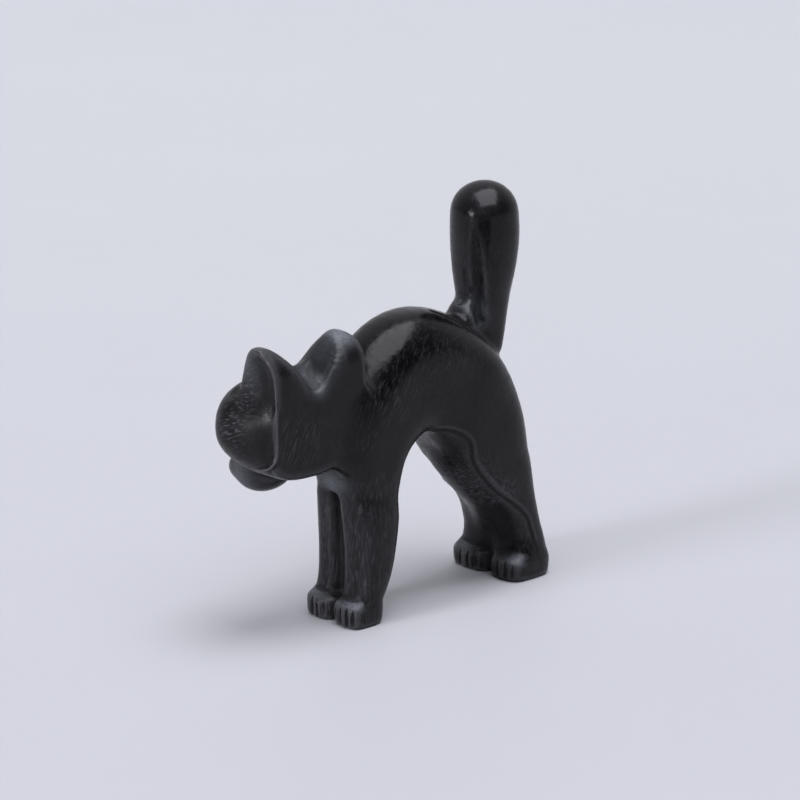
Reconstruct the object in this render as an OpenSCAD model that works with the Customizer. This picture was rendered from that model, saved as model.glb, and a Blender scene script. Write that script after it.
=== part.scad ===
// Arched cat figurine: slab-like body on four legs, tail held straight up, head turned to the cat's right.
// Frame: +Z up, the cat faces -Y, the cat's left is +X. Millimetres.
// Each sub-part is a smooth skin through a few stations, with flat joint faces where it meets its neighbours.

/* [Body] */
// Half of the body's width at the hips
body_half_width = 13; // [12:0.1:14]
// Height of the arched back above the table
back_height = 87; // [85:0.5:90]
// Height of the flat joint between the legs and the body
leg_joint_height = 38; // [36:0.5:40]
// Height of the belly arch above the table
arch_height = 51.4; // [49:0.2:53]

/* [Legs] */
// Clear gap between the front legs
front_gap = 2; // [1.4:0.1:3]
// Middle of the gap between the front legs, across the body
front_gap_centre = -0.6; // [-1.5:0.1:0.5]
// Height of the flat joint between a leg and its paw
ankle_height = 8; // [7.4:0.1:8.6]
// Depth of the grooves between the toes
toe_groove = 0.5; // [0.2:0.05:0.8]

/* [Tail] */
// Height of the tail's tip above the table
tail_tip_height = 119; // [114:0.5:126]
// Largest radius of the tail, near its tip
tail_radius = 9.4; // [8.8:0.1:10.4]
// Radius of the tail where it leaves the rump
tail_base_radius = 7.2; // [6.6:0.1:7.8]

/* [Head] */
// Distance of the flat back of the head from the body's middle plane
plate_x = 9.6; // [8.8:0.1:10.4]
// Half of the head's width from cheek to cheek
head_half_width = 20.2; // [19:0.1:21.5]
// Height of the ear tips above the table
ear_tip_height = 86.6; // [83:0.2:90]
// Radius of the muzzle
muzzle_radius = 7.4; // [6.6:0.1:8]
// Depth of the carved eyes
eye_depth = 0.6; // [0.3:0.05:0.9]

/* [Hidden] */

fired_black = [0.09, 0.09, 0.10];
body_points = 48;
limb_points = 36;
far = 80;

// Shift that brings the middle of the part's box onto the origin.
shift = [2.48, 17.39, 0];

// Flat joint between body and head, and between rump and tail: a point and the tilt about X.
neck_point = [0, -37.5, 60];
neck_tilt = 72.5;
rump_point = [0, 21, 70.5];
rump_tilt = -36;
ear_seat_z = 71.5;
ear_wall_x = -8;
muzzle_point = [-10, -52, 50];
muzzle_tilt = -140;

// ---- curves and skins ----
function spline(rows, s) =
    let (n = len(rows) - 1, i = min(floor(s), n - 1), t = s - i,
         a = rows[max(i - 1, 0)], b = rows[i], c = rows[i + 1], d = rows[min(i + 2, n)])
    0.5 * (2 * b + (c - a) * t + (2 * a - 5 * b + 4 * c - d) * t * t + (3 * b - a - 3 * c + d) * t * t * t);

function samples(rows, per) = [for (i = [0 : (len(rows) - 1) * per]) spline(rows, i / per)];

function power(v, n) = sign(v) * pow(abs(v), 2 / n);

// Notch profile of the toe grooves: one at each listed angle.
function apart(a, b) = abs(((a - b + 540) % 360) - 180);
function groove(a, at, half) =
    max([for (g = at) apart(a, g) < half ? 0.5 + 0.5 * cos(180 * apart(a, g) / half) : 0]);

module skin(rings) {
    n = len(rings[0]);
    m = len(rings);
    points = [for (r = rings) each r];
    sides = [for (j = [0 : m - 2], i = [0 : n - 1]) let (k = (i + 1) % n)
             each [[j * n + i, (j + 1) * n + i, (j + 1) * n + k], [j * n + i, (j + 1) * n + k, j * n + k]]];
    first_cap = [for (i = [0 : n - 1]) i];
    last_cap = [for (i = [n - 1 : -1 : 0]) (m - 1) * n + i];
    polyhedron(points = points, faces = concat([first_cap], sides, [last_cap]), convexity = 6);
}

// Upright skin. Station: [z, x low, x middle, x high, y front, y back, squareness].
module column(rows, per, points = limb_points, grooves = [], depth = 0, groove_top = 0) {
    skin([for (r = samples(rows, per))
        let (cy = (r[4] + r[5]) / 2, hy = (r[5] - r[4]) / 2)
        [for (k = [0 : points - 1])
            let (a = 360 * k / points, hx = cos(a) < 0 ? r[2] - r[1] : r[3] - r[2],
                 cut = r[0] < groove_top ? 1 - depth * groove(a, grooves, 9) / hy : 1)
            [r[2] + hx * cut * power(cos(a), r[6]), cy + hy * cut * power(sin(a), r[6]), r[0]]]]);
}

// Station with its middle halfway across.
function even(rows) = [for (r = rows) [r[0], r[1], (r[1] + r[2]) / 2, r[2], r[3], r[4], r[5]]];

// Block on the upper or the lower side of a tilted joint plane.
module above(point, tilt, size) {
    translate(point) rotate([tilt, 0, 0]) translate([-size, -size, 0]) cube(2 * size);
}
module below(point, tilt) {
    translate(point) rotate([tilt, 0, 0]) translate([-far, -far, -2 * far]) cube(2 * far);
}

module placed() { color(fired_black) translate(shift) children(); }

// ---- body ----
w = body_half_width;
back_up = back_height - 87;
arch_up = arch_height - 51.4;
jz = leg_joint_height;

// Station: [outer y, outer z, inner y, inner z, half width, outer squareness].
arch_rows = [
    [-36.8, jz, -18.6, jz, w - 1.9, 3.2],
    [-39.6, 48, -17.4, 44.3 + arch_up / 2, w - 1.4, 3.4],
    [-40, 59, -15.6, 48 + arch_up, w - 1, 3],
    [-35.4, 70 + back_up / 2, -13, 50.2 + arch_up, w - 0.7, 2.7],
    [-27.6, 79.6 + back_up, -10.5, 51.2 + arch_up, w - 0.6, 2.5],
    [-17.4, 85.5 + back_up, -8, 51.4 + arch_up, w - 0.6, 2.5],
    [-5.4, 86.6 + back_up, -5.6, 50.2 + arch_up, w - 0.5, 2.5],
    [7.2, 82 + back_up, -3.3, 48 + arch_up, w - 0.4, 2.5],
    [18, 74 + back_up, -1, 45.7 + arch_up, w - 0.2, 2.6],
    [26, 63 + back_up / 2, 1.2, 43.2 + arch_up / 2, w, 2.8],
    [30.4, 50, 3.1, 40.7, w, 3.2],
    [32.4, jz, 4.8, jz, w, 3.5]
];

module arch() {
    skin([for (r = samples(arch_rows, 3))
        let (m = [(r[0] + r[2]) / 2, (r[1] + r[3]) / 2], h = [(r[0] - r[2]) / 2, (r[1] - r[3]) / 2])
        [for (k = [0 : body_points - 1])
            let (a = -360 * k / body_points, n = sin(a) > 0 ? r[5] : 4, v = power(sin(a), n))
            [r[4] * power(cos(a), n), m[0] + h[0] * v, m[1] + h[1] * v]]]);
}

module torso() {
    placed() resize([0, 0, 0]) difference() {
        arch();
        above(neck_point, neck_tilt, 21);
        above(rump_point, rump_tilt, 14);
    }
}

// ---- legs: upright skins between the body joint and the paw joint ----
gl = front_gap_centre + front_gap / 2;
gr = front_gap_centre - front_gap / 2;
tl = w - 12.4;
hind_split = 0.9;
hind_slit = 0.15;

// The legs' inner sides are flat at the body and round at the ankles.
left_front = [
    [ankle_height, gl + 0.5, 5.9, 11.3, -36.6, -26.4, 3.2], [13, gl + 0.2, 5.7, 11.6, -36, -23.9, 3.2],
    [21, gl, 5, 12, -36, -21.7, 3.2], [30, gl + 0.1, 3.6, 11.8 + tl / 2, -36.5, -19.8, 3.2],
    [jz, gl + 0.3, 1.6, w - 1.9, -36.8, -18.7, 3.2]];
right_front = [
    [ankle_height, -10.6, -6, gr - 0.3, -36.6, -26.6, 3.2], [13, -10.4, -5.9, gr - 0.1, -36, -24, 3.2],
    [21, -10.3, -5.9, gr, -36, -21.8, 3.2], [30, -10.6 - tl / 2, -5.2, gr, -36.5, -19.9, 3.2],
    [jz, 1.9 - w, -4.6, gr - 0.2, -36.8, -18.7, 3.2]];
hind_inner = hind_split + hind_slit;
left_hind = [
    [ankle_height, hind_inner + 0.7, 7.6, 14, 23.8, 37.3, 2.8],
    [12, hind_inner + 0.2, 6.8, 13.5, 24.4, 36.7, 2.8],
    [16, hind_inner, 5.6, 13, 23.4, 35.9, 2.8], [21, hind_inner, 4.6, 12.8, 20.8, 34.9, 3],
    [27, hind_inner, 3.6, 12.9, 15.4, 33.9, 3.1], [33, hind_inner, 2.6, 12.9 + tl / 2, 9.2, 33.1, 3.3],
    [jz, hind_inner, 1.6, w, 4.8, 32.4, 3.5]];
// The right hind leg stands a little wider and further forward.
right_hind = [for (r = left_hind) let (forward = max(0, 1.4 - abs(r[0] - 16) / 12))
    [r[0], 2 * hind_split - r[3] - 0.8 - forward / 3, 2 * hind_split - r[2],
     2 * hind_split - r[1], r[4] - forward, r[5], r[6]]];

module front_left_leg() { placed() column(left_front, 4); }
module front_right_leg() { placed() column(right_front, 4); }
module hind_left_leg() { placed() column(left_hind, 3); }
module hind_right_leg() { placed() column(right_hind, 3); }

// ---- paws: the toes stand out at the front, the sides and the heel carry the leg on down ----
module paw(low, high, front, back, toes, toe_top, leg) {
    rows = [
        [0, low + 0.6, high - 0.6, front + 0.7, back - 0.9, 3.4],
        [0.8, low + 0.1, high - 0.1, front + 0.1, back - 0.3, 3.6],
        [toe_top - 1.2, low, high, front, back, 3.8],
        [toe_top, low + 0.2, high - 0.2, front + 0.8, back, 3.4],
        [ankle_height, leg[1], leg[3], leg[4], leg[5], leg[6]]];
    column(even(rows), 3, body_points, toes, toe_groove, toe_top);
}

front_toes = [236, 262, 286, 312];
hind_toes = [232, 258, 284, 310];
module front_left_paw() { placed() paw(0.7, 11.4, -40, -27, front_toes, 6.6, left_front[0]); }
module front_right_paw() { placed() paw(-11, 0.1, -40, -27.2, front_toes, 6.6, right_front[0]); }
module hind_left_paw() { placed() paw(2, 14.4, 20.8, 37.6, hind_toes, 6.2, left_hind[0]); }
module hind_right_paw() { placed() paw(-14, 1.2, 20.4, 37.6, hind_toes, 6.2, right_hind[0]); }

// ---- tail ----
rt = tail_radius;
rb = tail_base_radius;
tt = tail_tip_height;
module tail() {
    rows = [
        [60, -5.6, 5.6, 14.8, 25.4, 2.6], [70, 1 - rb, rb - 1, 14.6, 26.2, 2.6],
        [80, 0.4 - rb, rb - 0.4, 21 - rb, 20.4 + rb, 2.6], [93, -8.3, 8.3, 21.2 - 8.3, 21.2 + 8.3, 2.5],
        [tt - 16, -rt, rt, 21.4 - rt, 21.4 + rt, 2.3], [tt - 9, -rt, rt, 21.4 - rt, 21.4 + rt, 2.2]];
    dome_z = tt - 9;
    body = samples(rows, 4);
    dome = [for (i = [1 : 9]) let (t = 90 * i / 10, s = rt * cos(t))
            [dome_z + 9 * sin(t), -s, s, 21.4 - s, 21.4 + s, 2.2 - 0.2 * i / 10]];
    cap = [[tt, -0.8, 0.8, 20.6, 22.2, 2]];
    placed() resize([0, 0, 0]) difference() {
        column(even(concat(body, dome, cap)), 1);
        below(rump_point, rump_tilt);
    }
}

// ---- head: skin across the body, from the flat back of the head to the face ----
px = plate_x;
hw = head_half_width;
// Station: [x, middle y, half y, middle z, half z, squareness above, squareness below].
head_rows = [
    [px, -49.6, hw - 3, 60.2, 11.7, 4, 3.4], [px - 0.6, -49.7, hw - 2.8, 60.2, 12.1, 4, 3.4],
    [4, -51, hw - 1.2, 61, 13.2, 3.2, 2.7], [-3, -52, hw, 61.4, 13.6, 2.8, 2.3],
    [-9, -52.3, hw - 0.4, 61.8, 13, 2.6, 2.1], [-12.6, -52.3, hw - 3.6, 61.4, 11.4, 2.4, 2],
    [-15, -52.2, hw - 9, 60.2, 8.2, 2.2, 2], [-16.2, -52.2, 3, 59, 2.6, 2, 2]];

module skull() {
    skin([for (r = samples(head_rows, 3))
        [for (k = [0 : body_points - 1]) let (a = 360 * k / body_points, n = sin(a) > 0 ? r[5] : r[6])
            [r[0], r[1] - r[2] * power(cos(a), n), r[3] + r[4] * power(sin(a), n)]]]);
}

module eye(side) {
    translate([-15.4 + 1.2, -52 + side * 8.6, 63.2]) rotate([side * 14, 0, side * 18])
        scale([eye_depth + 1, 3.6, 2.1]) sphere(r = 1, $fn = 28);
}

module head() {
    placed() resize([0, 0, 0]) difference() {
        skull();
        below(neck_point, neck_tilt);
        translate([ear_wall_x, -far, ear_seat_z]) cube([far, 2 * far, far]);
        translate(muzzle_point) rotate([0, muzzle_tilt, 0]) translate([-12, -7.6, 0]) cube([24, 15.2, 20]);
        for (side = [-1, 1]) eye(side);
    }
}

// ---- ears: thick rounded wedges flush with the flat back of the head ----
eb = ear_seat_z;
et = ear_tip_height;
eh = et - eb;
module left_ear() {
    placed() column(even([
        [eb, ear_wall_x, px - 0.1, -66.9, -51.6, 4], [eb + 0.3 * eh, -6.6, px - 0.2, -67.1, -53.8, 3.6],
        [eb + 0.6 * eh, -4.6, px - 0.6, -67.6, -57.2, 3.2], [et - 2.8, -2, px - 2.2, -68.6, -60.9, 2.8],
        [et - 0.7, 0, px - 4.6, -68.6, -63.8, 2.4], [et, 1.6, px - 6.4, -67.9, -65.2, 2]]), 3);
}
module right_ear() {
    placed() column(even([
        [eb, ear_wall_x, px - 0.1, -50.8, -35.2, 4], [eb + 0.3 * eh, -6.6, px - 0.2, -47.8, -33.8, 3.6],
        [eb + 0.6 * eh, -4.6, px - 0.6, -44.4, -33.6, 3.2], [et - 2.6, -2, px - 2.2, -42, -34.8, 2.8],
        [et - 0.5, 0, px - 4.6, -40.6, -36.4, 2.4], [et + 0.2, 1.6, px - 6.4, -39.6, -37.8, 2]]), 3);
}

// ---- muzzle ----
module muzzle() {
    r = muzzle_radius;
    placed() translate(muzzle_point) rotate([0, muzzle_tilt, 0])
        column(even([[0, -7.6, 7, -r, r, 2.4], [3, -7.8, 7.2, -r - 0.1, r + 0.1, 2.4],
                     [6.2, -7.2, 6.6, 0.4 - r, r - 0.4, 2.3], [9, -5.2, 4.6, 2.4 - r, r - 2.4, 2.2],
                     [10.5, -2, 1.4, 6 - r, r - 6, 2]]), 3);
}

torso();
head();
left_ear();
right_ear();
muzzle();
tail();
front_left_leg();
front_right_leg();
hind_left_leg();
hind_right_leg();
front_left_paw();
front_right_paw();
hind_left_paw();
hind_right_paw();
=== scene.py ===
"""Looks of the arched cat figurine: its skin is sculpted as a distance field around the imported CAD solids.

The CAD solids become distance fields, which are fused, burnished and carved, turned into one smooth skin,
and cut again at the CAD joint planes, so that each CAD node gets its own closed, detailed piece.
Lengths are millimetres in the row frame until the meshes are written in metres.
The cat faces -Y, its left side is +X, and its head is turned so that the face looks towards -X.
"""
import math

import bmesh
import bpy
import numpy as np
import openvdb
from mathutils import Euler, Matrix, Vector


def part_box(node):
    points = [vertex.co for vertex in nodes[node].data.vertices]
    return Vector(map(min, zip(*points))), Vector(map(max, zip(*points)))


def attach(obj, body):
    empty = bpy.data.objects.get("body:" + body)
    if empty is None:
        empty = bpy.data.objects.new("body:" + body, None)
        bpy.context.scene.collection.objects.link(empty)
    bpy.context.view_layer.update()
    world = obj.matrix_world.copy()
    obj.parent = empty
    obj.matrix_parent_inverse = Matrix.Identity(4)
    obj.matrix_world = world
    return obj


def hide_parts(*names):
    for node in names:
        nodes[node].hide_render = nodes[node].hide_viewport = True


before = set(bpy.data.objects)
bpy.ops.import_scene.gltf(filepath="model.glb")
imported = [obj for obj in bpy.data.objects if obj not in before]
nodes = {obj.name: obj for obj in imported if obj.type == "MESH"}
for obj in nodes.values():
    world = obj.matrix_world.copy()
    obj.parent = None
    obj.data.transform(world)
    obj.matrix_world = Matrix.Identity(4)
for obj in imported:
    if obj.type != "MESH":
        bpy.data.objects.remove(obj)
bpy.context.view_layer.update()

MM = 0.001  # one millimetre in metres
STEP = 0.35  # spacing of the grid that holds the distance fields
BAND = 5.0  # distance fields are right up to here; every fillet radius stays below it
JOINT_GAP = 0.25  # CAD nodes are grown by this before they are fused
MARGIN = 3.5  # empty grid kept around the figure
FAR = 200.0  # beyond everything
BEND_SPREAD, BEND_GAIN = 0.8, 3.0  # blur and scale of the measure of edges and hollows
MUZZLE_SHIFT = (-1.4, -2.4, 0.3)  # the muzzle's ball in the skin, from the middle of its CAD node
MUZZLE_REACH = 2.4  # how far the cut around the muzzle stands off its CAD box
TAIL_DEPTH = 13.0  # how far in front of the middle of its joint face the tail's region reaches


# ---- places, from the frame ----
def low(node):
    return np.array(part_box(node)[0]) / MM


def high(node):
    return np.array(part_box(node)[1]) / MM


def middle(node):
    return (low(node) + high(node)) / 2


def flat_face(node, toward):
    """Largest flat face of a CAD node that looks towards a direction: its middle and its outward normal."""
    toward = Vector(toward).normalized()
    areas = {}
    for face in nodes[node].data.polygons:
        if face.normal.dot(toward) > 0.6:
            key = tuple(round(v, 2) for v in face.normal)
            areas.setdefault(key, []).append(face)
    faces = max(areas.values(), key=lambda group: sum(f.area for f in group))
    area = sum(f.area for f in faces)
    point = sum((f.center * f.area for f in faces), Vector()) / area / MM
    return np.array(point), np.array(faces[0].normal)


NECK = flat_face("head", (0, 1, 0))
RUMP = flat_face("tail", (0, -0.6, -0.8))
MUZZLE = flat_face("muzzle", (0.6, 0, 0.8))
BODY_Z = low("torso")[2]
ANKLE_Z = high("front_left_paw")[2]
EAR_Z = low("left_ear")[2]
EAR_WALL_X = low("left_ear")[0]
EAR_SPLIT_Y = (high("left_ear")[1] + low("right_ear")[1]) / 2
FRONT_SPLIT_X = (low("front_left_leg")[0] + high("front_right_leg")[0]) / 2
HIND_SPLIT_X = (low("hind_left_leg")[0] + high("hind_right_leg")[0]) / 2
PLATE_X = high("head")[0]


# ---- distance fields ----
def smooth_min(a, b, radius):
    """Union of two distance fields with a fillet of about that radius."""
    reach = np.maximum(radius - np.abs(a - b), 0)
    return np.minimum(a, b) - reach * reach / (4 * radius)


def smooth_max(a, b, radius):
    """Intersection of two distance fields with their common edge rounded."""
    return -smooth_min(-a, -b, radius)


def distances(points, **faces):
    """Distance field of a closed surface, on the shared grid."""
    grid = openvdb.FloatGrid.createLevelSetFromPolygons(
        (points - GRID_LOW).astype(np.float32), halfWidth=BAND / STEP,
        transform=openvdb.createLinearTransform(voxelSize=STEP), **faces)
    field = np.zeros(GRID_SHAPE, np.float32)
    grid.copyToArray(field)
    return field


def surface(field):
    """Points and quads of a field's zero surface."""
    grid = openvdb.FloatGrid(BAND)
    grid.copyFromArray(np.clip(field, -BAND, BAND))
    grid.transform = openvdb.createLinearTransform(voxelSize=STEP)
    points, quads = grid.convertToQuads(0)
    return points + GRID_LOW, quads


def node_field(name):
    """Distance field of one CAD node."""
    mesh = nodes[name].data
    points = np.empty(len(mesh.vertices) * 3, np.float32)
    mesh.vertices.foreach_get("co", points)
    mesh.calc_loop_triangles()
    corners = np.empty(len(mesh.loop_triangles) * 3, np.int32)
    mesh.loop_triangles.foreach_get("vertices", corners)
    return distances(points.reshape(-1, 3) / MM, triangles=corners.reshape(-1, 3).astype(np.uint32))


def fused(names):
    """Distance field of CAD nodes grown into one solid, so that nothing is left of their joint faces."""
    field = node_field(names[0])
    for name in names[1:]:
        np.minimum(field, node_field(name), out=field)
    points, quads = surface(field - JOINT_GAP)
    return distances(points, quads=quads) + np.float32(JOINT_GAP)


def blurred(field, spread):
    """Gaussian blur with a spread in millimetres."""
    reach = max(1, int(round(2.5 * spread / STEP)))
    weights = np.exp(-0.5 * (np.arange(-reach, reach + 1) * STEP / spread) ** 2)
    weights /= weights.sum()
    for axis in range(3):
        padded = np.pad(field, [(reach, reach) if a == axis else (0, 0) for a in range(3)], mode="edge")
        out = np.zeros_like(field)
        for i, weight in enumerate(weights):
            part = [slice(None)] * 3
            part[axis] = slice(i, i + field.shape[axis])
            out += np.float32(weight) * padded[tuple(part)]
        field = out
    return field


def window(centre, reach):
    """Slices of the grid around a point, and the coordinates there."""
    lowest = (np.array(centre) - reach - GRID_LOW) / STEP
    highest = (np.array(centre) + reach - GRID_LOW) / STEP
    first = np.floor(lowest).astype(int).clip(0, np.array(GRID_SHAPE) - 1)
    last = np.ceil(highest).astype(int).clip(first + 1, GRID_SHAPE)
    part = tuple(slice(a, b) for a, b in zip(first, last))
    return part, AX[part[0]][:, None, None], AY[part[1]][None, :, None], AZ[part[2]][None, None, :]


def ellipsoid(x, y, z, centre, radii, turn=(0, 0, 0)):
    """Approximate distance to an ellipsoid, turned by Euler angles in degrees."""
    axes = np.array(Euler([math.radians(a) for a in turn]).to_matrix())
    px, py, pz = x - centre[0], y - centre[1], z - centre[2]
    local = [px * axes[0][i] + py * axes[1][i] + pz * axes[2][i] for i in range(3)]
    outer = np.sqrt(sum((c / r) ** 2 for c, r in zip(local, radii)))
    inner = np.sqrt(sum((c / r ** 2) ** 2 for c, r in zip(local, radii))) + 1e-6
    return (outer * (outer - 1) / inner).astype(np.float32)


def segment(x, y, z, a, b, radius_a, radius_b):
    """Distance to a round bar between two points."""
    a, b = np.array(a, float), np.array(b, float)
    along = b - a
    px, py, pz = x - a[0], y - a[1], z - a[2]
    t = ((px * along[0] + py * along[1] + pz * along[2]) / (along @ along)).clip(0, 1)
    gap = np.sqrt((px - t * along[0]) ** 2 + (py - t * along[1]) ** 2 + (pz - t * along[2]) ** 2)
    return (gap - radius_a - t * (radius_b - radius_a)).astype(np.float32)


def add_ball(field, centre, radii, fillet, turn=(0, 0, 0)):
    """Adds an ellipsoid with a fillet around it."""
    part, x, y, z = window(centre, max(radii) + fillet + 1)
    field[part] = smooth_min(field[part], ellipsoid(x, y, z, centre, radii, turn), fillet)


def carve_ball(field, centre, radii, fillet, turn=(0, 0, 0)):
    """Takes an ellipsoid away, with a rounded edge."""
    part, x, y, z = window(centre, max(radii) + fillet + 1)
    field[part] = smooth_max(field[part], -ellipsoid(x, y, z, centre, radii, turn), fillet)


def chain(points, radii, near):
    """Distance to round bars along a chain of points, with the part of the grid within reach of it."""
    points = np.array(points, float)
    reach = (points.max(0) - points.min(0)) / 2 + max(radii) + near
    part, x, y, z = window((points.max(0) + points.min(0)) / 2, reach)
    ends = zip(points, points[1:], radii, radii[1:])
    bars = [segment(x, y, z, a, b, radius_a, radius_b) for a, b, radius_a, radius_b in ends]
    return part, np.minimum.reduce(bars)


def stroke(field, points, radius, fillet, cut=True, taper=True):
    """Carves a round groove along a chain of points, or adds a round bead. The ends taper off."""
    radii = np.full(len(points), float(radius))
    if taper:
        radii[[0, -1]] *= 0.35
    stroke_along(field, points, radii, fillet, cut)


def stroke_along(field, points, radii, fillet, cut):
    """Carves or adds a round bar along a chain of points, with a radius at every point."""
    part, bar = chain(points, radii, fillet + 1)
    if cut:
        field[part] = smooth_max(field[part], -bar, fillet)
    else:
        field[part] = smooth_min(field[part], bar, fillet)


def around(centre, reach):
    """Part of the grid around a point, with a weight that fades from 1 there to 0 at the reach."""
    part, x, y, z = window(centre, reach)
    gap = ((x - centre[0]) ** 2 + (y - centre[1]) ** 2 + (z - centre[2]) ** 2) / reach ** 2
    return part, np.clip(1 - gap, 0, 1).astype(np.float32)


def fill_corners(field, centre, reach, spread):
    """Rounds out the hollow corners around a point and leaves the rest as it is."""
    part, weight = around(centre, reach)
    filled = smooth_min(field[part], blurred(field[part], spread) + 0.3, 0.3)
    field[part] += (filled - field[part]) * np.minimum(2 * weight, 1)


def soften(field, centre, reach, spread):
    """Blurs the surface around a point, most in the middle."""
    part, weight = around(centre, reach)
    field[part] += (blurred(field[part], spread) - field[part]) * weight ** 1.5


def spline(points, per=6):
    """Smooth curve through points, as a denser chain."""
    p = np.array(points, float)
    p = np.vstack([2 * p[0] - p[1], p, 2 * p[-1] - p[-2]])
    out = []
    for i in range(1, len(p) - 2):
        for t in np.arange(per) / per:
            a, b, c, d = p[i - 1:i + 3]
            out.append(0.5 * (2 * b + (c - a) * t + (2 * a - 5 * b + 4 * c - d) * t * t
                              + (3 * b - a - 3 * c + d) * t ** 3))
    out.append(p[-2])
    return np.array(out)


def side_distance(curve):
    """Distance from a curve on the body's side, over the whole YZ plane: positive on its left hand."""
    y, z = np.meshgrid(AY, AZ, indexing="ij")
    best = np.full(y.shape, 1e9)
    sign = np.ones(y.shape)
    for a, b in zip(curve[:-1], curve[1:]):
        ay, az = b - a
        t = (((y - a[0]) * ay + (z - a[1]) * az) / (ay * ay + az * az)).clip(0, 1)
        gap = np.hypot(y - a[0] - t * ay, z - a[1] - t * az)
        side = np.sign(ay * (z - a[1]) - az * (y - a[0]))
        closer = gap < best
        best[closer], sign[closer] = gap[closer], side[closer]
    return (best * sign).astype(np.float32)


# ---- the grid, around the whole figure ----
GRID_LOW = np.array([min(low(n)[i] for n in nodes) for i in range(3)]) - MARGIN
GRID_HIGH = np.array([max(high(n)[i] for n in nodes) for i in range(3)]) + MARGIN
GRID_SHAPE = tuple(int(math.ceil(v / STEP)) + 1 for v in GRID_HIGH - GRID_LOW)
AX, AY, AZ = ((GRID_LOW[i] + STEP * np.arange(GRID_SHAPE[i])).astype(np.float32) for i in range(3))
X, Y, Z = AX[:, None, None], AY[None, :, None], AZ[None, None, :]


# ---- head ----
def sculpt_head():
    field = fused(["head", "left_ear", "right_ear", "muzzle"])
    add_forehead(field)
    broaden_right_ear(field)
    move_muzzle(field)
    field = blurred(field, 0.8)
    field = carry_to_plate(field)
    field = cut_cheek(field)
    hollow_ear(field)
    carve_face(field)
    field = cut_plate(field)
    add_rim(field)
    return field


def add_forehead(field):
    """The notch between the ears is deep at the flat back of the head and shallow over the face."""
    plate_floor, crown, ridge_x, half_width, face_rise = 71.0, 78.8, 1.8, 13, 0.75
    rise = (crown - plate_floor) / (PLATE_X - ridge_x)
    back = ((Z - plate_floor) - rise * (PLATE_X - X)) / math.hypot(1, rise)
    face = ((Z - crown) - face_rise * (X - ridge_x)) / math.hypot(1, face_rise)
    walls = np.abs(Y - EAR_SPLIT_Y) - half_width
    ramp = np.maximum(np.maximum(back, face), np.maximum(walls, EAR_Z - 4 - Z))
    ramp = np.maximum(ramp, EAR_WALL_X + 1 - X).astype(np.float32)
    field[:] = smooth_min(field, ramp, 1.5)


def broaden_right_ear(field):
    """The right ear's back edge runs down to the shoulder in one broad curve."""
    x, tip = PLATE_X - 4.1, high("right_ear")
    line = [(x, tip[1] - 4.3, tip[2] - 3.8), (x, tip[1] - 3.3, tip[2] - 9), (x, tip[1] - 2.8, tip[2] - 15),
            (x, tip[1] - 2.6, tip[2] - 24)]
    stroke_along(field, line, (3.4, 3.7, 3.9, 3.9), 1.5, False)


def snout():
    """Middle of the muzzle's ball in the skin."""
    return middle("muzzle") + np.array(MUZZLE_SHIFT)


def move_muzzle(field):
    """The muzzle reaches further towards the face side than its CAD ball, and joins the jaw softly."""
    add_ball(field, snout(), (6.6, 6.8, 6.6), 3.0)


def plate_lean(z):
    """How far the flat back of the head leans in at a height, towards the ear tips."""
    return 0.0223 * np.clip(z - 77, 0, 11) ** 2.4


def carry_to_plate(field):
    """Carries the head's outline straight on past its flat back, so that the cut there is crisp."""
    starts = ((PLATE_X - 1.9 - plate_lean(AZ) - GRID_LOW[0]) / STEP).astype(int)
    for k, start in enumerate(starts):
        field[start:, :, k] = field[start, :, k]
    return field


def cut_plate(field):
    """Flat back of the head: crisp at the front rim, worn round under the jaw and in the notch."""
    plane = X - (PLATE_X - 0.15) + plate_lean(Z)
    jaw = 0.4 + 0.35 * np.clip(56 - Z, 0, 10)
    notch = 1.9 * np.clip((Y + 47) / 5, 0, 1) * np.clip((-20 - Y) / 4, 0, 1) * np.clip((Z - 64) / 6, 0, 1)
    return smooth_max(field, plane.astype(np.float32), np.minimum(jaw + notch, 4).astype(np.float32))


def cut_cheek(field):
    """Front side of the head, from the rim of the flat back out to the bulge of the cheek."""
    rim_y, run = low("left_ear")[1] + 2.3, 18.5
    t = np.clip(PLATE_X - X, 0, run)
    bulge = rim_y - 0.372 * t - 0.022 * t * (run - t)
    cut = smooth_max(field, ((bulge - Y) * 0.93).astype(np.float32), 0.5)
    below_ear = np.clip((77 - Z) / 4, 0, 1)
    return field + (cut - field) * below_ear


def hollow_ear(field):
    """Long shallow scoop down the front of the left ear, deepest by the rim of the flat back."""
    front = low("left_ear")[1]
    fill_corners(field, (EAR_WALL_X + 5.5, front + 0.8, EAR_Z - 0.5), 11, 2.8)
    centre = (PLATE_X - 4.5, front - 3.4, EAR_Z + 5.4)
    carve_ball(field, centre, (5.6, 6.4, 9.0), 2.4, (-3, 0, -4))
    soften(field, (PLATE_X - 7.5, front - 0.8, EAR_Z - 3.0), 11, 2.2)
    soften(field, (PLATE_X - 2.5, front - 0.5, EAR_Z - 3.5), 9, 2.4)
    soften(field, (EAR_WALL_X + 6.0, EAR_SPLIT_Y - 5.0, EAR_Z + 6.5), 9, 1.5)
    soften(field, (EAR_WALL_X + 2.0, EAR_SPLIT_Y + 4.0, EAR_Z + 5.5), 8, 1.6)


def rim_line():
    """Front rim of the head's flat back, from the left ear's tip down under the cheek."""
    x, y, z = PLATE_X - 0.2, low("left_ear")[1] + 2.35, EAR_Z
    ear = [(x - 2.0, y - 1.3, z + 12.4), (x - 0.8, y - 0.6, z + 10.2), (x - 0.1, y, z + 6.3)]
    cheek = [(x, y + 0.2, z - 0.5), (x, y + 0.2, z - 8.2), (x, y, z - 14.4)]
    jaw = [(x - 0.4, y - 1.3, z - 16.9), (x - 4.0, y - 1.6, z - 18.9), (x - 7.0, y - 1.3, z - 19.4)]
    return spline(ear + cheek + jaw, 4)


def add_rim(field):
    """Fine raised line along the front rim."""
    stroke(field, rim_line(), 0.34, 0.3, cut=False)


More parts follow.
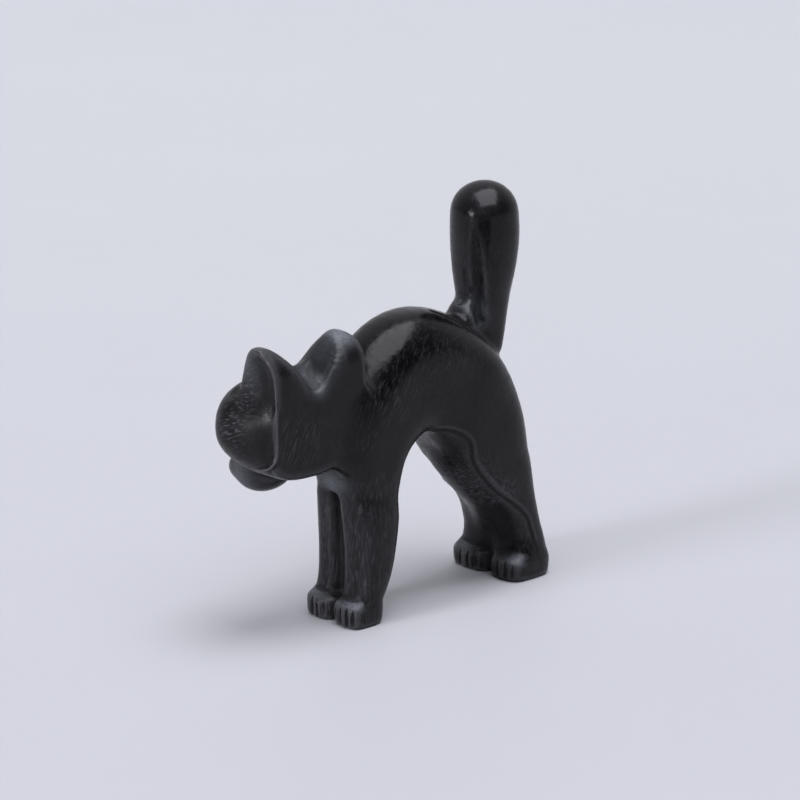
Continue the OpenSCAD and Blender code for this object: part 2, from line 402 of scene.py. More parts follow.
def carve_face(field):
    """Small carved face on the far side of the head."""
    mid = snout()
    cx, cy, cz = low("head")[0], mid[1], EAR_Z - 8.6
    bridge = [mid + np.array([-1.8, 0, 4.4]), (cx + 4.6, cy, cz)]
    stroke_along(field, bridge, (4.4, 3.4), 3.0, False)
    for side in (-1, 1):
        y = cy + side * 8.4
        carve_ball(field, (cx + 0.9, y, cz), (1.3, 3.9, 2.3), 0.8, (side * 14, 0, 0))
        add_ball(field, (cx + 1.5, y, cz - 0.1), (1.3, 2.7, 1.5), 0.25, (side * 14, 0, 0))
        add_ball(field, mid + np.array([-3.4, side * 2.7, -0.6]), (3.5, 3.3, 3.3), 1.4)
    add_ball(field, mid + np.array([-5.6, 0, 3.8]), (1.8, 2.0, 1.4), 0.8)
    lip = [mid + np.array([-7.0, 0, 2.4]), mid + np.array([-7.0, 0, -1.2])]
    stroke(field, lip, 0.4, 0.3, taper=False)
    for side in (-1, 1):
        curve = [(-6.9, 0, -1.2), (-6.4, side * 2.4, -2.6), (-4.8, side * 4.6, -3.0)]
        stroke(field, spline([mid + np.array(place) for place in curve], 4), 0.42, 0.3)


# ---- body, tail and legs ----
def sculpt_body():
    field = fused([n for n in sorted(nodes) if n in ("torso", "tail") or n.endswith(("leg", "paw"))])
    fill_front_gap(field)
    fill_hind_block(field)
    crisp = blurred(field, 0.4)
    field = blurred(field, 0.85)
    field += (crisp - field) * np.clip((ANKLE_Z + 3 - Z) / 4, 0, 1)
    thicker_tail = 0.32 * np.clip((Z - 86) / 8, 0, 1) * (Y > 15)
    field -= thicker_tail.astype(np.float32)
    shape_rump(field)
    shape_chest(field)
    return field


def fill_front_gap(field):
    """The front legs are one block too, with only a groove between them."""
    y, z = middle("front_left_leg")[1], BODY_Z
    part, bar = chain([(FRONT_SPLIT_X, y + 0.5, z), (FRONT_SPLIT_X, y, ANKLE_Z), (FRONT_SPLIT_X, y, 3)],
                      (5.6, 5.0, 4.6), 5)
    field[part] = smooth_min(field[part], bar, 2.0)


def fill_hind_block(field):
    """The hind legs are one block under the belly, with only a shallow valley between the ankles."""
    line = [(26.4, BODY_Z + 1), (32.6, 33), (38.4, 27), (42.8, 21), (45.6, 15), (46.6, 10), (47.0, 3)]
    points = [(HIND_SPLIT_X, y, z) for y, z in line]
    part, bar = chain(points, (6.5, 6.5, 6.3, 5.8, 5.0, 4.8, 4.6), 5)
    field[part] = smooth_min(field[part], bar, 3.5)


def shape_rump(field):
    """Hollow fillet and fine creases where the tail rises from the rump, and the flutes of the tail."""
    base = RUMP[0]
    add_ball(field, (base[0] + 0.5, 30.6, 81.0), (5.5, 4.2, 4.6), 3.5)
    fill_corners(field, (base[0], base[1] - 4, base[2] + 3), 15, 2.7)
    x = base[0] + 4.8
    back = [(x - 1.6, 14.0, 86.1), (x, 17.0, 84.7), (x + 1.4, 22.1, 81.9), (x + 2.8, 27.0, 78.7),
            (x + 3.2, 31.0, 76.4), (x + 3.1, 35.0, 74.1)]
    stroke(field, spline(back, 4), 0.55, 0.7)
    upper = [(x - 3.4, 17.6, 85.9), (x - 1.2, 21.6, 83.7), (x + 0.6, 25.6, 81.3), (x + 1.2, 28.6, 79.6)]
    stroke(field, spline(upper, 4), 0.4, 0.6)
    soften(field, (base[0], high("tail")[1] - 1.5, low("tail")[2] + 1.5), 10, 2.2)
    front = [(x + 1.0, 28.9, 106.0), (x + 1.1, 29.2, 100.0), (x + 1.1, 29.9, 92.0), (x + 1.2, 30.5, 86.0),
             (x + 1.4, 31.6, 80.5)]
    widths = np.interp(np.linspace(0, 4, 17), range(5), (0.9, 1.5, 2.0, 2.1, 1.8))
    stroke_along(field, spline(front, 4), widths, 1.4, True)
    side = [(x - 3.1, 28.6, 95.0), (x - 3.3, 28.7, 90.0), (x - 3.9, 28.6, 85.0)]
    stroke(field, spline(side, 4), 1.3, 1.0)


def shape_chest(field):
    """Slanted ridge across the chest, from under the head to the top of the left front leg."""
    front = low("front_left_leg")[1]
    line = [(-3.5, front + 2.6, 43.5), (0.5, front + 2.2, 42.2), (4.5, front + 2.3, 40.6),
            (8.3, front + 3.3, 38.2), (10.8, front + 4.6, 34.0)]
    stroke_along(field, spline(line, 4), 1.9 - 1.3 * np.linspace(-1, 1, 17) ** 2, 3.0, False)


# ---- carving on the fused figure ----
def belly_curve():
    """Edge of the body's side over the belly arch and down the hind leg, as (y, z)."""
    front_leg = [(-8.0, 8.0), (-6.2, 21.0), (-4.2, 32.0), (-3.2, 40.0), (-2.2, 45.2), (-0.9, 47.2)]
    arch = [(1.8, 49.8), (6.2, 51.9), (10.9, 52.3), (15.0, 51.9), (19.0, 50.0), (21.8, 47.5)]
    thigh = [(22.9, 44.8), (23.8, 41.4), (25.9, 37.7), (28.5, 34.4), (31.8, 30.9), (35.5, 27.6)]
    shin = [(39.3, 24.8), (42.7, 21.8), (45.0, 19.0), (46.3, 15.4), (47.3, 11.8), (48.0, 8.0)]
    return spline(front_leg + arch + thigh + shin, 4)


def carve_belly(field):
    """The side ends in a raised lip over the arch. Inside a narrow groove the belly falls away."""
    inside = -side_distance(belly_curve())
    groove = 0.52 * np.exp(-((inside - 0.1) / 0.40) ** 2)
    lip = -0.07 * np.exp(-((inside + 1.1) / 0.6) ** 2)
    fall = 0.12 * np.clip(inside, 0, 4) + 0.15 * np.clip(inside / 0.7, 0, 1)
    hind = AY[:, None] > 6
    height = np.clip((AZ[None] - np.where(hind, 7.5, 40)) / 5, 0, 1)
    relief = (groove + lip + fall) * height * (inside < 14)
    side = np.clip((X - 6.5) / 4.5, 0, 1)
    field += (relief[None] * side).astype(np.float32)


def add_knee(field):
    """Soft ridge across the front of the hind legs."""
    line = [(-5.5, 31.8, 29.6), (-3, 30.6, 30.6), (2, 29.9, 31.2), (7, 30.6, 30.4), (10.5, 33.2, 27.6)]
    stroke_along(field, spline(line, 4), 1.1 - 0.9 * np.linspace(-1, 1, 17) ** 2, 2.4, False)


def groove_ear(field):
    """Narrow valley between the right ear's back edge and the shoulder."""
    edge = high("right_ear")[1]
    line = [(12.2, edge + 0.1, 84), (13.0, edge + 0.9, 78), (13.8, edge + 1.2, 73)]
    stroke_along(field, spline(line, 4), np.interp(np.arange(9), (0, 3, 8), (0.4, 0.85, 0.05)), 0.8, True)


def carve_toes(field):
    """Short upright cuts between the toes."""
    for end in ("front", "hind"):
        for side, lean in (("left", 1), ("right", -1)):
            lo = low(f"{end}_{side}_paw")
            width = high(f"{end}_{side}_paw")[0] - lo[0]
            for i, part in enumerate((0.2, 0.42, 0.64, 0.85)):
                x = lo[0] + width * (part if lean > 0 else 1 - part)
                dy = 0.25 + 1.9 * max(0, part - 0.6)
                top = 6.0 - 0.5 * (i % 2)
                line = [(x, lo[1] + dy - 0.15, -0.5), (x + 0.15 * (-1) ** i, lo[1] + dy, 3.2),
                        (x, lo[1] + dy + 0.35, top)]
                stroke_along(field, line, (0.62, 0.5, 0.3), 0.25, True)


def hand_made(field):
    """Slow unevenness of a surface shaped by hand, about a tenth of a millimetre."""
    waves = ((0.21, 0.13, 0.17, 0.4), (-0.17, 0.24, 0.11, 1.9), (0.12, -0.19, 0.28, 3.1),
             (0.33, 0.28, -0.22, 4.4))
    for a, b, c, phase in waves:
        field += (0.045 * np.sin(a * X + b * Y + c * Z + phase)).astype(np.float32)


def join_head(head, body):
    """Joins head and body: a wide fillet under the jaw, a narrow one between the ear and the back."""
    upper = np.clip((Z - 66) / 10, 0, 1)
    under = 2.6 + 1.8 * np.clip((X - 4) / 6, 0, 1)
    fillet = (under * (1 - upper) + 0.9 * upper).astype(np.float32)
    field = smooth_min(head, body, fillet)
    corner = (PLATE_X + 1, high("head")[1] - 1, 58)
    fill_corners(field, corner, 12, 3.0)
    soften(field, corner, 14, 2.2)
    neck_y, jaw_z = high("head")[1], low("head")[2]
    add_ball(field, (PLATE_X - 1.6, neck_y - 6, jaw_z), (2.6, 2.6, 2.6), 3.0)
    soften(field, (PLATE_X - 0.5, neck_y - 5.5, jaw_z + 0.5), 10, 2.5)
    return field


def soften_leg_tops(field):
    """Takes out the bends where the legs leave the body."""
    soften(field, (middle("front_left_leg")[0], high("front_left_leg")[1], BODY_Z), 10, 2.5)
    soften(field, (low("hind_right_leg")[0] + 2, 36, BODY_Z), 17, 2.8)
    add_knee(field)
    soften(field, (HIND_SPLIT_X + 1, low("hind_left_leg")[1] + 2, BODY_Z - 1), 11, 2.2)


def sculpt():
    """The whole figure as one distance field, with flat soles at height 0."""
    field = join_head(sculpt_head(), sculpt_body())
    soften_leg_tops(field)
    carve_belly(field)
    groove_ear(field)
    carve_toes(field)
    hand_made(field)
    return np.maximum(field, (-Z).astype(np.float32))


# ---- reading the field ----
def sample(field, points):
    """Trilinear value of a field at points."""
    place = (points - GRID_LOW) / STEP
    cell = np.clip(np.floor(place).astype(int), 0, np.array(GRID_SHAPE) - 2)
    t = place - cell
    value = 0
    for i in (0, 1):
        for j in (0, 1):
            for k in (0, 1):
                weight = (t[:, 0] if i else 1 - t[:, 0]) * (t[:, 1] if j else 1 - t[:, 1])
                weight = weight * (t[:, 2] if k else 1 - t[:, 2])
                value = value + weight * field[cell[:, 0] + i, cell[:, 1] + j, cell[:, 2] + k]
    return value


def slope(field, points):
    """Unit direction in which a field rises, at points."""
    step = np.eye(3) * STEP
    rise = np.stack([sample(field, points + s) - sample(field, points - s) for s in step], 1)
    return rise / np.maximum(np.linalg.norm(rise, axis=1, keepdims=True), 1e-9)


# ---- cutting the skin into pieces. A plane is a point and the outward normal of what it keeps ----
def skin_object(field):
    """The field's zero surface as one closed mesh object, in millimetres."""
    points, quads = surface(field)
    points -= sample(field, points)[:, None] * slope(field, points)
    mesh = bpy.data.meshes.new("skin")
    mesh.from_pydata(points.tolist(), [], quads.tolist())
    return bpy.data.objects.new("skin", mesh)


def block(planes):
    """Closed block that holds every point behind all the planes."""
    bm = bmesh.new()
    bmesh.ops.create_cube(bm, size=2 * FAR)
    for point, normal in planes:
        cut = bmesh.ops.bisect_plane(bm, geom=bm.verts[:] + bm.edges[:] + bm.faces[:], plane_co=point,
                                     plane_no=normal, clear_outer=True)
        edges = [g for g in cut["geom_cut"] if isinstance(g, bmesh.types.BMEdge)]
        bmesh.ops.contextual_create(bm, geom=edges)
    bmesh.ops.recalc_face_normals(bm, faces=bm.faces[:])
    mesh = bpy.data.meshes.new("block")
    bm.to_mesh(mesh)
    bm.free()
    return bpy.data.objects.new("block", mesh)


def clipped(obj, keep, away=()):
    """Mesh of obj inside the block of planes keep and outside each block in away."""
    scene = bpy.context.scene.collection
    scene.objects.link(obj)
    tools = [(block(keep), "INTERSECT")] + [(block(planes), "DIFFERENCE") for planes in away]
    for tool, operation in tools:
        scene.objects.link(tool)
        modifier = obj.modifiers.new("clip", "BOOLEAN")
        modifier.operation = operation
        modifier.solver = "MANIFOLD"
        modifier.object = tool
    bpy.context.view_layer.update()
    mesh = bpy.data.meshes.new_from_object(obj.evaluated_get(bpy.context.evaluated_depsgraph_get()))
    obj.modifiers.clear()
    scene.objects.unlink(obj)
    for tool, _ in tools:
        bpy.data.objects.remove(tool)
    drop_split_points(mesh)
    return mesh


def drop_split_points(mesh):
    """Dissolves the points that a cut leaves between two corners of a face, which only make slivers."""
    bm = bmesh.new()
    bm.from_mesh(mesh)
    bmesh.ops.dissolve_verts(bm, verts=[v for v in bm.verts if len(v.link_edges) == 2])
    bm.to_mesh(mesh)
    bm.free()


def above(z):
    return (0, 0, z), (0, 0, -1)


def below(z):
    return (0, 0, z), (0, 0, 1)


def left_of(x):
    return (x, 0, 0), (-1, 0, 0)


def right_of(x):
    return (x, 0, 0), (1, 0, 0)


def behind(y):
    return (0, y, 0), (0, -1, 0)


def ahead(y):
    return (0, y, 0), (0, 1, 0)


def flipped(plane):
    return plane[0], -plane[1]


def regions():
    """Planes that keep each piece's part of the skin, and the blocks taken away from it."""
    waist = (middle("front_left_leg")[1] + middle("hind_left_leg")[1]) / 2
    tail = [RUMP, behind(RUMP[0][1] - TAIL_DEPTH)]
    muzzle_box = [MUZZLE, ahead(high("muzzle")[1] + 0.4), behind(low("muzzle")[1] - MUZZLE_REACH)]
    ears = [above(EAR_Z), left_of(EAR_WALL_X), NECK]
    out = {
        "torso": ([above(BODY_Z), flipped(NECK)], [tail]),
        "tail": (tail, []),
        "head": ([above(BODY_Z), NECK], [ears, muzzle_box]),
        "left_ear": (ears + [ahead(EAR_SPLIT_Y)], []),
        "right_ear": (ears + [behind(EAR_SPLIT_Y)], []),
        "muzzle": (muzzle_box, []),
    }
    for end, split, side_of_waist in (("front", FRONT_SPLIT_X, ahead), ("hind", HIND_SPLIT_X, behind)):
        for side, keep in (("left", left_of), ("right", right_of)):
            base = [keep(split), side_of_waist(waist)]
            out[f"{end}_{side}_leg"] = (base + [above(ANKLE_Z), below(BODY_Z)], [])
            out[f"{end}_{side}_paw"] = (base + [below(ANKLE_Z)], [])
    return out


def shade(mesh, field, planes):
    """Smooth normals from the field on the skin, flat normals on the joint faces."""
    count = len(mesh.vertices)
    points = np.empty(count * 3, np.float32)
    mesh.vertices.foreach_get("co", points)
    points = points.reshape(-1, 3).astype(float)
    smooth = slope(field, points)
    faces = len(mesh.polygons)
    normals = np.empty(faces * 3, np.float32)
    mesh.polygons.foreach_get("normal", normals)
    normals = normals.reshape(-1, 3)
    centres = np.empty(faces * 3, np.float32)
    mesh.polygons.foreach_get("center", centres)
    centres = centres.reshape(-1, 3)
    joint = np.zeros(faces, bool)
    for point, normal in planes:
        flat = np.abs(normals @ np.array(normal)) > 0.9995
        joint |= flat & (np.abs((centres - np.array(point)) @ np.array(normal)) < 0.004)
    corners = np.empty(len(mesh.loops), np.int32)
    mesh.loops.foreach_get("vertex_index", corners)
    sides = np.empty(faces, np.int32)
    mesh.polygons.foreach_get("loop_total", sides)
    owner = np.repeat(np.arange(faces), sides)
    out = np.where(joint[owner][:, None], normals[owner], smooth[corners])
    mesh.polygons.foreach_set("use_smooth", np.ones(faces, bool))
    mesh.normals_split_custom_set(out.tolist())
    return points


def build_pieces(field):
    """One closed skin for every CAD node, in the node's place."""
    skin = skin_object(field)
    bend = (blurred(field, BEND_SPREAD) - field) * BEND_GAIN
    pieces = {}
    for name, (keep, away) in regions().items():
        mesh = clipped(skin, keep, away)
        points = shade(mesh, field, keep + [p for planes in away for p in planes])
        mark_surface(mesh, points, bend)
        mesh.vertices.foreach_set("co", (points * MM).astype(np.float32).ravel())
        mesh.update()
        mesh.materials.clear()
        mesh.polygons.foreach_set("material_index", np.zeros(len(mesh.polygons), np.int32))
        mesh.name = name + "_skin"
        piece = bpy.data.objects.new(name + "_skin", mesh)
        bpy.context.scene.collection.objects.link(piece)
        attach(piece, "root")
        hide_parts(name)
        pieces[name] = piece
    bpy.data.objects.remove(skin)
    return pieces


# ---- what the surface has been through ----
def spot(node, fx, fy, fz):
    """A place given as fractions of a CAD node's box."""
    return low(node) + (high(node) - low(node)) * np.array([fx, fy, fz])


def blob(points, centre, radii):
    """Soft round mask, 1 in the middle."""
    away = (points - centre) / np.array(radii)
    return np.exp(-(away ** 2).sum(1))


def inside_of(value, start, end):
    """Smooth step from 0 at start to 1 at end."""
    t = ((value - start) / (end - start)).clip(0, 1)
    return t * t * (3 - 2 * t)


# Bluish, unpolished places that also hold painted highlight and painted reflection of the pale surroundings:
# node, place in its box, radii in millimetres, strength.
RUBBED_WITH_HIGHLIGHT = [
    ("right_ear", (0.66, 0.40, 0.62), (7.5, 5.0, 6.0), 0.12),  # wall of the notch
    ("right_ear", (0.80, 0.72, 0.93), (5, 3.0, 2.6), 0.9),  # tip
    ("right_ear", (0.8, 0.06, 0.18), (5, 2.4, 3.2), 0.9),  # bottom of the notch
    ("tail", (0.62, 0.14, 0.27), (5.0, 4.0, 5.0), 0.45),
    ("torso", (0.47, 0.03, 0.09), (6, 3.5, 3.0), 1),  # chest
    ("left_ear", (0.45, 0.05, 0.55), (4, 3, 5), 0.3),
    ("muzzle", (0.45, 0.0, 0.5), (3.5, 3.0, 5), 0.6),
    ("front_left_paw", (0.72, 0.18, 0.86), (3.4, 1.7, 1.6), 0.6),
    ("hind_left_paw", (0.82, 0.16, 0.8), (3.0, 2.0, 1.5), 0.7),
    ("front_right_paw", (0.3, 0.18, 0.86), (3.4, 1.7, 1.6), 0.6),
    ("hind_right_paw", (0.4, 0.16, 0.8), (3.0, 2.0, 1.5), 0.7),
]


# Lighter bluish patches: partly unpolished stone, partly painted highlight and painted reflection.
def rubbed_with_highlight(p):
    return sum(strength * blob(p, spot(node, *place), size) for node, place, size, strength in RUBBED_WITH_HIGHLIGHT)


def filed(p):
    """Short marks across the front of the left ear and the cheek."""
    ear = blob(p, spot("left_ear", 0.36, 0.02, 0.35), (4.0, 3.5, 8.0))
    cheek = blob(p, spot("head", 0.50, 0.0, 0.60), (5.0, 4.0, 5.0))
    return ear + cheek + 0.5 * blob(p, spot("head", 0.62, 0.1, 0.2), (7, 5, 4))


def slanted(p):
    """Slanted scratches on the flat back of the head and on the shoulder."""
    plate = blob(p, spot("head", 1, 0.40, 0.46), (4, 8.5, 8))
    plate = plate + 0.6 * blob(p, spot("head", 1, 0.97, 0.3), (4, 3, 7))
    shoulder = blob(p, spot("torso", 0.95, 0.18, 0.58), (5, 7, 8))
    flank = blob(p, spot("torso", 0.95, 0.45, 0.75), (6, 14, 9))
    return plate + 0.8 * shoulder + 0.5 * flank


def upright(p):
    """Rubbing up and down the legs and the tail."""
    front = inside_of(p[:, 2], 50, 40) * inside_of(p[:, 1], 8, -2)
    hind = inside_of(p[:, 2], 30, 16) * inside_of(p[:, 1], 20, 30) * 0.6
    tail = inside_of(p[:, 2], 84, 90) * inside_of(p[:, 2], 108, 100) * 0.4
    return front + hind + tail


def swept(p):
    """Curved scratches over the belly and the front of the hind legs."""
    belly = blob(p, spot("hind_left_leg", 0.1, 0.05, 0.9), (12, 8, 9))
    knee = blob(p, spot("hind_left_leg", 0.2, 0.3, 0.7), (12, 7, 5))
    return belly + 1.8 * knee


def rim(p):
    """The fine light line along the front rim of the flat back of the head: partly edge wear, partly a
    painted highlight.
    """
    line = rim_line()
    near = np.full(len(p), 9.0)
    close = np.flatnonzero((p[:, 1] < line[:, 1].max() + 2) & (p[:, 0] > line[:, 0].min() - 2))
    for a, b in zip(line, line[1:]):
        near[close] = np.minimum(near[close], segment(*p[close].T, a, b, 0, 0))
    return np.exp(-((near - 0.25).clip(0) / 0.22) ** 2)


def polished(p):
    """Glossy places: the top of the back and the upper tail."""
    back = inside_of(p[:, 2], 60, 78) * inside_of(p[:, 1], -16, -8) * inside_of(p[:, 2], 92, 87)
    return back + inside_of(p[:, 2], 98, 106)


MASKS = {"rubbed_with_highlight": rubbed_with_highlight, "filed": filed, "slanted": slanted, "upright": upright, "swept": swept,
         "polished": polished, "rim": rim}


def store(mesh, name, values):
    """Keeps a number per vertex, for the material."""
    layer = mesh.attributes.new(name, "FLOAT", "POINT")
    layer.data.foreach_set("value", np.asarray(values, np.float32))


def mark_surface(mesh, points, bend):
    """Stores the masks, and how sharply the surface bends: above 0 on edges, below 0 in hollows."""
    for name, mask in MASKS.items():
        store(mesh, name, mask(points).clip(0, 1))
    store(mesh, "bend", sample(bend, points).clip(-1, 1))


# ---- material ----
class Graph:
    """Short spelling for a material's nodes. An input is a number, a vector or another node's output."""

    def __init__(self, material):
        material.use_nodes = True
        self.tree = material.node_tree
        self.shader = self.tree.nodes["Principled BSDF"]

    def set(self, socket, value):
        if isinstance(value, bpy.types.NodeSocket):
            self.tree.links.new(value, socket)
        else:
            socket.default_value = value

    def node(self, kind, inputs, output=0, **options):
        node = self.tree.nodes.new("ShaderNode" + kind)
        for name, value in options.items():
            setattr(node, name, value)
        for key, value in inputs.items():
            self.set(node.inputs[key], value)
        return node.outputs[output]

    def math(self, operation, a, b=0.0, clamp=False):
        return self.node("Math", {0: a, 1: b}, operation=operation, use_clamp=clamp)

    def attribute(self, name):
        return self.node("Attribute", {}, output="Fac", attribute_name=name)

    def noise(self, vector, scale, detail, roughness=0.55):
        inputs = {"Vector": vector, "Scale": scale, "Detail": detail, "Roughness": roughness}
        return self.node("TexNoise", inputs)

    def ramp(self, value, start, end, first=0.0, last=1.0):
        """Smooth step from first, where the value is at start, to last, where it is at end."""
        inputs = {"Value": value, "From Min": start, "From Max": end, "To Min": first, "To Max": last}
        return self.node("MapRange", inputs, interpolation_type="SMOOTHSTEP")

    def streaks(self, place, axis, angle, scale, start, end):
        """Thin marks: noise stretched along one direction."""
        inputs = {"Vector": place, "Angle": math.radians(angle)}
        turned = self.node("VectorRotate", inputs, rotation_type=axis)
        stretched = self.node("Mapping", {"Vector": turned, "Scale": scale})
        return self.ramp(self.noise(stretched, 1.0, 4.0, 0.6), start, end)

    def mix(self, amount, a, b):
        return self.node("Mix", {"Factor": amount, 6: a, 7: b}, output=2, data_type="RGBA")


# Scratches: mask, axis and angle they are turned by, noise scale along the axes, noise range, strength.
SCRATCHES = [
    ("slanted", "X_AXIS", 27, (2.0, 2.4, 0.22), 0.50, 0.68, 0.75),
    ("upright", "X_AXIS", 3, (2.3, 2.3, 0.22), 0.42, 0.74, 0.42),
    ("swept", "Y_AXIS", -34, (0.10, 1.3, 1.3), 0.40, 0.66, 1.0),
    ("filed", "Y_AXIS", 22, (0.22, 1.5, 1.7), 0.48, 0.64, 0.65),
]
BLACK = (0.0017, 0.0015, 0.0019, 1)
DUSTY = (0.012, 0.0115, 0.0140, 1)
SCRATCHED = (0.062, 0.062, 0.070, 1)
# Partly unpolished stone, partly a painted highlight and painted reflection of the pale surroundings.
UNPOLISHED_WITH_HIGHLIGHT = (0.110, 0.116, 0.136, 1)
# Partly edge wear, partly a painted highlight.
WORN_EDGE_AND_HIGHLIGHT = (0.075, 0.075, 0.082, 1)
# Painted shade: the colour that the hollows are darkened towards.
HOLLOW_PAINTED_SHADE = (0.0028, 0.0027, 0.0032, 1)


def scratch_amount(g, place, patches):
    """Where the surface is scratched, in broken strokes."""
    amount = 0.0
    for name, axis, angle, scale, start, end, strength in SCRATCHES:
        streak = g.streaks(place, axis, angle, scale, start, end)
        part = g.math("MULTIPLY", g.math("MULTIPLY", streak, g.attribute(name)), strength)
        amount = g.math("MAXIMUM", part, amount)
    return g.math("MULTIPLY", amount, g.ramp(patches, 0.30, 0.62, 0.25, 1.0))


def edge_amount(g, grain):
    """Where the colour is made lighter, on edges and on the rim of the flat back of the head: partly wear,
    partly painted highlight.
    """
    edge = g.math("MULTIPLY", g.ramp(g.attribute("bend"), 0.10, 0.50), g.ramp(grain, 0.30, 0.55, 0.2, 1.0))
    return g.math("MAXIMUM", g.math("MULTIPLY", edge, 0.35), g.math("MULTIPLY", g.attribute("rim"), 0.6))


def dust_amount(g, place, grain):
    """Greyish clouds."""
    clouds = g.noise(place, 0.16, 4.0, 0.6)
    dust = g.math("MULTIPLY", g.ramp(clouds, 0.40, 0.70), g.ramp(grain, 0.45, 0.70, 0.2, 1.0))
    return g.math("MULTIPLY", dust, 0.30)


def roughness(g, patches, scratched, rough_patch_with_highlight, hollow):
    """Glossy where polished, duller on scratches, in unpolished places and in hollows."""
    rough = g.ramp(patches, 0.32, 0.68, 0.26, 0.40)
    shine = g.math("MULTIPLY", g.attribute("polished"), g.ramp(patches, 0.35, 0.7, 0.15, 0.07))
    rough = g.math("SUBTRACT", rough, shine)
    worn = g.math("MAXIMUM", g.math("MULTIPLY", scratched, 0.16), g.math("MULTIPLY", rough_patch_with_highlight, 0.22))
    worn = g.math("MAXIMUM", worn, g.math("MULTIPLY", g.attribute("filed"), 0.24))
    return g.math("ADD", rough, g.math("MAXIMUM", worn, g.math("MULTIPLY", hollow, 0.2)), clamp=True)


def relief(g, place, grain, scratched, rough_patch_with_highlight):
    """Fine bump: grain, scratches and a slow unevenness."""
    height = g.math("MULTIPLY", grain, g.math("ADD", g.math("MULTIPLY", rough_patch_with_highlight, 1.6), 0.22))
    height = g.math("ADD", height, g.math("MULTIPLY", scratched, -0.5))
    height = g.math("ADD", height, g.math("MULTIPLY", g.noise(place, 0.35, 3.0), 1.2))
    return g.node("Bump", {"Height": height, "Strength": 1.0, "Distance": 0.00006})


def black_material():
    """Dense black stoneware, worked by hand with rubbing and scratching: glossy where burnished, greyer
    where not. Painted shade darkens the hollows, painted highlights lighten edges and patches.
    """
    material = bpy.data.materials.new("black_ceramic")
    g = Graph(material)
    metres = g.node("TexCoord", {}, output="Object")
    place = g.node("Mapping", {"Vector": metres, "Scale": (1000, 1000, 1000)})
    grain = g.noise(place, 2.6, 5.0, 0.7)
    patches = g.noise(place, 0.55, 5.0, 0.65)
    scratched = scratch_amount(g, place, patches)
    rough_patch_with_highlight = g.math("MULTIPLY", g.attribute("rubbed_with_highlight"), g.ramp(grain, 0.36, 0.62, 0.4, 1.0))
    hollow = g.ramp(g.attribute("bend"), -0.04, -0.22)

    colour = g.mix(dust_amount(g, place, grain), BLACK, DUSTY)
    colour = g.mix(scratched, colour, SCRATCHED)
    # Painted highlight and reflection, partly unpolished stone: the lighter bluish patches.
    colour = g.mix(rough_patch_with_highlight, colour, UNPOLISHED_WITH_HIGHLIGHT)
    # Painted highlight, partly edge wear: lighter colour on edges and along the rim.
    colour = g.mix(edge_amount(g, grain), colour, WORN_EDGE_AND_HIGHLIGHT)
    # Painted shade: darkens the colour in the hollows.
    colour = g.mix(g.math("MULTIPLY", hollow, 0.7), colour, HOLLOW_PAINTED_SHADE)
    g.set(g.shader.inputs["Base Color"], colour)
    g.set(g.shader.inputs["Roughness"], roughness(g, patches, scratched, rough_patch_with_highlight, hollow))
    g.set(g.shader.inputs["Normal"], relief(g, place, grain, scratched, rough_patch_with_highlight))
    g.shader.inputs["IOR"].default_value = 1.33
    return material


# ---- stage ----
def plane_floor():
    """Pale lavender paper, very slightly uneven, with painted light: lighter towards the back."""
    mesh = bpy.data.meshes.new("floor")
    half = 6.0
    corners = [(-half, -half, 0), (half, -half, 0), (half, half, 0), (-half, half, 0)]
    mesh.from_pydata(corners, [], [(0, 1, 2, 3)])
    floor = bpy.data.objects.new("floor", mesh)
    bpy.context.scene.collection.objects.link(floor)
    material = bpy.data.materials.new("floor")
    g = Graph(material)
    place = g.node("TexCoord", {}, output="Object")
    cloud = g.ramp(g.noise(place, 9.0, 5.0, 0.6), 0.3, 0.7, -0.03, 0.03)
    # Painted light falloff: the paper's colour gets lighter towards the back.
    back = g.node("VectorMath", {0: place, 1: (-0.7, 0.7, 0)}, output="Value", operation="DOT_PRODUCT")
    paper_tone_and_painted_falloff = g.math("ADD", cloud, g.ramp(back, -0.5, 1.2))
    colour = g.mix(paper_tone_and_painted_falloff, (0.220, 0.219, 0.233, 1), (0.273, 0.275, 0.287, 1))
    g.set(g.shader.inputs["Base Color"], colour)
    g.shader.inputs["Roughness"].default_value = 0.6
    mesh.materials.append(material)


def dark_card():
    """Black card on the table in front, out of the picture, that only the object's reflections see."""
    mesh = bpy.data.meshes.new("card")
    near, far, azimuth, half = 0.20, 1.6, math.radians(50), math.radians(27)
    corners = [(near, -half), (far, -half), (far, half), (near, half)]
    points = [(d * math.sin(azimuth + a), -d * math.cos(azimuth + a), 0.001) for d, a in corners]
    mesh.from_pydata(points, [], [(0, 1, 2, 3)])
    card = bpy.data.objects.new("card", mesh)
    bpy.context.scene.collection.objects.link(card)
    material = bpy.data.materials.new("card")
    g = Graph(material)
    g.shader.inputs["Base Color"].default_value = (0.01, 0.01, 0.01, 1)
    g.shader.inputs["Roughness"].default_value = 0.9
    mesh.materials.append(material)
    card.visible_camera = False
    card.visible_diffuse = False
    card.visible_shadow = False


def area_light(name, direction, distance, size, power):
    """Square lamp that looks at the figure. Sizes in metres, power in watts."""
    target = Vector((0, 0, 0.06))
    lamp = bpy.data.lights.new(name, "AREA")
    lamp.size = size
    lamp.energy = power
    lamp.color = (0.93, 0.945, 1.0)
    obj = bpy.data.objects.new(name, lamp)
    obj.location = target + Vector(direction).normalized() * distance
    obj.rotation_euler = (target - obj.location).to_track_quat("-Z", "Y").to_euler()
    bpy.context.scene.collection.objects.link(obj)
    return obj


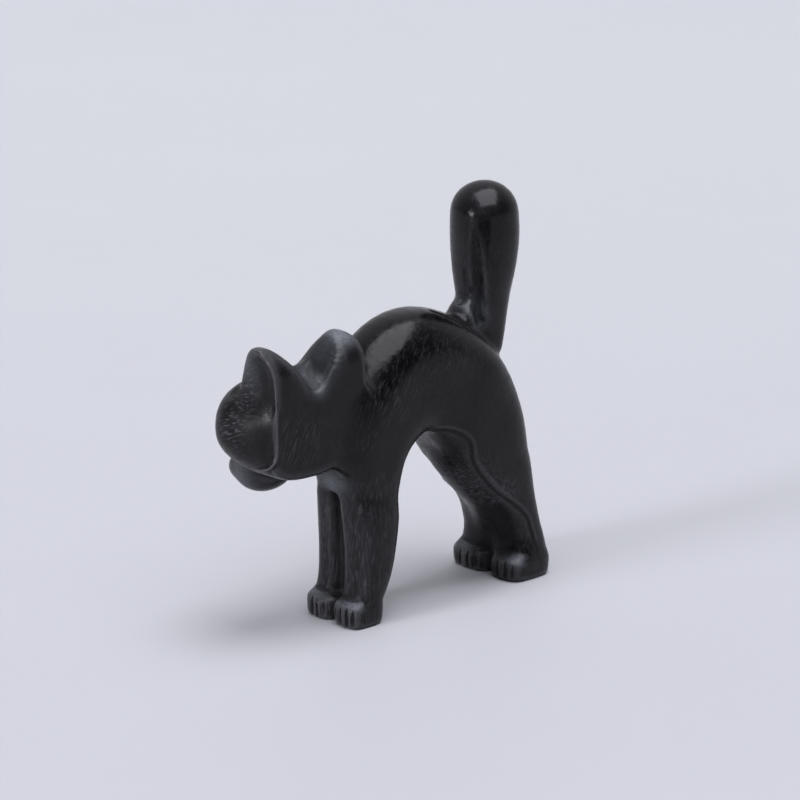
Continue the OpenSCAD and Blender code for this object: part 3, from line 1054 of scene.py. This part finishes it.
def lights():
    """A big softbox above, and lamps whose reflections don't show, for the depth of the shadows."""
    area_light("softbox", (0.27, -0.12, 0.95), 8.0, 9.6, 1180)
    key = area_light("key", (0.15, 0.02, 0.99), 8.0, 4.2, 800)
    key.visible_glossy = False
    fill = area_light("fill", (-0.11, -0.98, 0.35), 4.0, 1.0, 190)
    fill.visible_glossy = False
    area_light("side_lamp", (-0.11, -0.98, 0.17), 1.5, 0.13, 4.0)
    studio()


def studio():
    """The room: pale paper rising behind the object, and darker on the side of the photographer."""
    world = bpy.data.worlds.new("studio")
    bpy.context.scene.world = world
    world.use_nodes = True
    tree = world.node_tree
    where = tree.nodes.new("ShaderNodeTexCoord")
    toward = tree.nodes.new("ShaderNodeVectorMath")
    toward.operation = "DOT_PRODUCT"
    toward.inputs[1].default_value = (0.68, -0.68, -0.1)
    fade = tree.nodes.new("ShaderNodeMapRange")
    fade.interpolation_type = "SMOOTHSTEP"
    for name, value in (("From Min", -0.7), ("From Max", 0.3), ("To Min", 0.62), ("To Max", 0.04)):
        fade.inputs[name].default_value = value
    background = tree.nodes["Background"]
    background.inputs["Color"].default_value = (0.93, 0.94, 1, 1)
    tree.links.new(where.outputs["Generated"], toward.inputs[0])
    tree.links.new(toward.outputs["Value"], fade.inputs["Value"])
    tree.links.new(fade.outputs["Result"], background.inputs["Strength"])


def camera():
    """The photo's viewpoint, as fitted to the feet and the outline."""
    cam = bpy.data.cameras.new("camera")
    cam.sensor_width = 36
    cam.lens = 138.37
    obj = bpy.data.objects.new("camera", cam)
    azimuth, elevation = math.radians(47), math.radians(16.5)
    back = Vector((math.sin(azimuth) * math.cos(elevation), -math.cos(azimuth) * math.cos(elevation),
                   math.sin(elevation)))
    target = Vector((-14.93, 21.87, 53.31)) * MM
    obj.location = target + back * 0.9
    obj.rotation_euler = back.to_track_quat("Z", "Y").to_euler()
    bpy.context.scene.collection.objects.link(obj)
    bpy.context.scene.camera = obj


pieces = build_pieces(sculpt())
ceramic = black_material()
for piece in pieces.values():
    piece.data.materials.append(ceramic)
plane_floor()
dark_card()
lights()
camera()
bpy.context.scene.view_settings.view_transform = "Standard"
